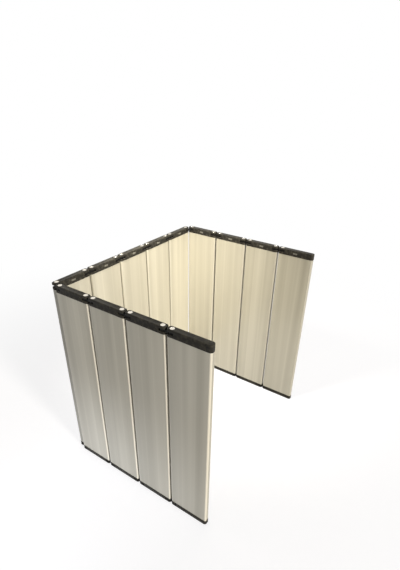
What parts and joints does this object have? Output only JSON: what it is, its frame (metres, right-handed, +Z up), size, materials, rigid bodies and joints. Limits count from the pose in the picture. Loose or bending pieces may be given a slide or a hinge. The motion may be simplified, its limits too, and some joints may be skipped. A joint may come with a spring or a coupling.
{
  "type": "folding stove windscreen",
  "caption": "Folding stove windscreen: flat hollow aluminium panels on edge in a U, joined top and bottom by riveted two-pivot links.",
  "frame": {"origin": "on the ground, at the middle of the screen's outline in plan", "axes": "+X along the back wall to the right as seen from the open front, -Y to the open front, +Z up"},
  "size_m": [0.388, 0.312, 0.3691],
  "materials": {
    "anodised_aluminium": "extruded, satin anodised",
    "cap_nylon": "moulded, fine satin",
    "link_nylon": "moulded, fine satin",
    "rivet_steel": "bright plated"
  },
  "bodies": {
    "panel_01": {"slat_01": "anodised_aluminium", "end_caps_01": "cap_nylon"},
    "panel_02": {"slat_02": "anodised_aluminium", "end_caps_02": "cap_nylon"},
    "panel_03": {"slat_03": "anodised_aluminium", "end_caps_03": "cap_nylon"},
    "panel_04": {"slat_04": "anodised_aluminium", "end_caps_04": "cap_nylon"},
    "panel_05": {"slat_05": "anodised_aluminium", "end_caps_05": "cap_nylon"},
    "panel_06": {"slat_06": "anodised_aluminium", "end_caps_06": "cap_nylon"},
    "panel_07": {"slat_07": "anodised_aluminium", "end_caps_07": "cap_nylon"},
    "panel_08": {"slat_08": "anodised_aluminium", "end_caps_08": "cap_nylon"},
    "panel_09": {"slat_09": "anodised_aluminium", "end_caps_09": "cap_nylon"},
    "panel_10": {"slat_10": "anodised_aluminium", "end_caps_10": "cap_nylon"},
    "panel_11": {"slat_11": "anodised_aluminium", "end_caps_11": "cap_nylon"},
    "panel_12": {"slat_12": "anodised_aluminium", "end_caps_12": "cap_nylon"},
    "panel_13": {"slat_13": "anodised_aluminium", "end_caps_13": "cap_nylon"},
    "link_01": {"hinge_links_01": "link_nylon", "rivets_01": "rivet_steel"},
    "link_02": {"hinge_links_02": "link_nylon", "rivets_02": "rivet_steel"},
    "link_03": {"hinge_links_03": "link_nylon", "rivets_03": "rivet_steel"},
    "link_04": {"hinge_links_04": "link_nylon", "rivets_04": "rivet_steel"},
    "link_05": {"hinge_links_05": "link_nylon", "rivets_05": "rivet_steel"},
    "link_06": {"hinge_links_06": "link_nylon", "rivets_06": "rivet_steel"},
    "link_07": {"hinge_links_07": "link_nylon", "rivets_07": "rivet_steel"},
    "link_08": {"hinge_links_08": "link_nylon", "rivets_08": "rivet_steel"},
    "link_09": {"hinge_links_09": "link_nylon", "rivets_09": "rivet_steel"},
    "link_10": {"hinge_links_10": "link_nylon", "rivets_10": "rivet_steel"},
    "link_11": {"hinge_links_11": "link_nylon", "rivets_11": "rivet_steel"},
    "link_12": {"hinge_links_12": "link_nylon", "rivets_12": "rivet_steel"}
  },
  "joints": [
    {"name": "pivot_07a", "type": "hinge", "parent": "panel_07", "child": "link_07", "pos_m": [0.02611, 0.15042, 0.1845], "axis": [0, 0, 1], "range_deg": [-61, 90]},
    {"name": "pivot_07b", "type": "hinge", "parent": "link_07", "child": "panel_08", "pos_m": [0.04211, 0.15042, 0.1845], "axis": [0, 0, 1], "range_deg": [-63, 90]},
    {"name": "pivot_08a", "type": "hinge", "parent": "panel_08", "child": "link_08", "pos_m": [0.10111, 0.15042, 0.1845], "axis": [0, 0, -1], "range_deg": [-90, 75]},
    {"name": "pivot_08b", "type": "hinge", "parent": "link_08", "child": "panel_09", "pos_m": [0.11711, 0.15042, 0.1845], "axis": [0, 0, -1], "range_deg": [-90, 81]},
    {"name": "pivot_09a", "type": "hinge", "parent": "panel_09", "child": "link_09", "pos_m": [0.17611, 0.15042, 0.1845], "axis": [0, 0, 1], "range_deg": [-50, 130]},
    {"name": "pivot_09b", "type": "hinge", "parent": "link_09", "child": "panel_10", "pos_m": [0.18836, 0.14013, 0.1845], "axis": [0, 0, 1], "range_deg": [-40, 140]},
    {"name": "pivot_10a", "type": "hinge", "parent": "panel_10", "child": "link_10", "pos_m": [0.18836, 0.08113, 0.1845], "axis": [0, 0, -1], "range_deg": [-90, 90]},
    {"name": "pivot_10b", "type": "hinge", "parent": "link_10", "child": "panel_11", "pos_m": [0.18836, 0.06513, 0.1845], "axis": [0, 0, -1], "range_deg": [-90, 90]},
    {"name": "pivot_11a", "type": "hinge", "parent": "panel_11", "child": "link_11", "pos_m": [0.18836, 0.00613, 0.1845], "axis": [0, 0, 1], "range_deg": [-90, 90]},
    {"name": "pivot_11b", "type": "hinge", "parent": "link_11", "child": "panel_12", "pos_m": [0.18836, -0.00987, 0.1845], "axis": [0, 0, 1], "range_deg": [-90, 90]},
    {"name": "pivot_12a", "type": "hinge", "parent": "panel_12", "child": "link_12", "pos_m": [0.18836, -0.06887, 0.1845], "axis": [0, 0, -1], "range_deg": [-90, 90]},
    {"name": "pivot_12b", "type": "hinge", "parent": "link_12", "child": "panel_13", "pos_m": [0.18836, -0.08487, 0.1845], "axis": [0, 0, -1], "range_deg": [-90, 90]},
    {"name": "pivot_06b", "type": "hinge", "parent": "panel_07", "child": "link_06", "pos_m": [-0.03289, 0.15042, 0.1845], "axis": [0, 0, 1], "range_deg": [-90, 61]},
    {"name": "pivot_06a", "type": "hinge", "parent": "link_06", "child": "panel_06", "pos_m": [-0.04889, 0.15042, 0.1845], "axis": [0, 0, 1], "range_deg": [-90, 64]},
    {"name": "pivot_05b", "type": "hinge", "parent": "panel_06", "child": "link_05", "pos_m": [-0.10789, 0.15042, 0.1845], "axis": [0, 0, -1], "range_deg": [-76, 90]},
    {"name": "pivot_05a", "type": "hinge", "parent": "link_05", "child": "panel_05", "pos_m": [-0.12389, 0.15042, 0.1845], "axis": [0, 0, -1], "range_deg": [-82, 90]},
    {"name": "pivot_04b", "type": "hinge", "parent": "panel_05", "child": "link_04", "pos_m": [-0.18289, 0.15042, 0.1845], "axis": [0, 0, 1], "range_deg": [-160, 20]},
    {"name": "pivot_04a", "type": "hinge", "parent": "link_04", "child": "panel_04", "pos_m": [-0.18836, 0.13538, 0.1845], "axis": [0, 0, 1], "range_deg": [-110, 70]},
    {"name": "pivot_03b", "type": "hinge", "parent": "panel_04", "child": "link_03", "pos_m": [-0.18836, 0.07638, 0.1845], "axis": [0, 0, -1], "range_deg": [-90, 90]},
    {"name": "pivot_03a", "type": "hinge", "parent": "link_03", "child": "panel_03", "pos_m": [-0.18836, 0.06038, 0.1845], "axis": [0, 0, -1], "range_deg": [-90, 90]},
    {"name": "pivot_02b", "type": "hinge", "parent": "panel_03", "child": "link_02", "pos_m": [-0.18836, 0.00138, 0.1845], "axis": [0, 0, 1], "range_deg": [-90, 90]},
    {"name": "pivot_02a", "type": "hinge", "parent": "link_02", "child": "panel_02", "pos_m": [-0.18836, -0.01462, 0.1845], "axis": [0, 0, 1], "range_deg": [-90, 90]},
    {"name": "pivot_01b", "type": "hinge", "parent": "panel_02", "child": "link_01", "pos_m": [-0.18836, -0.07362, 0.1845], "axis": [0, 0, -1], "range_deg": [-90, 90]},
    {"name": "pivot_01a", "type": "hinge", "parent": "link_01", "child": "panel_01", "pos_m": [-0.18836, -0.08962, 0.1845], "axis": [0, 0, -1], "range_deg": [-90, 90]}
  ]
}
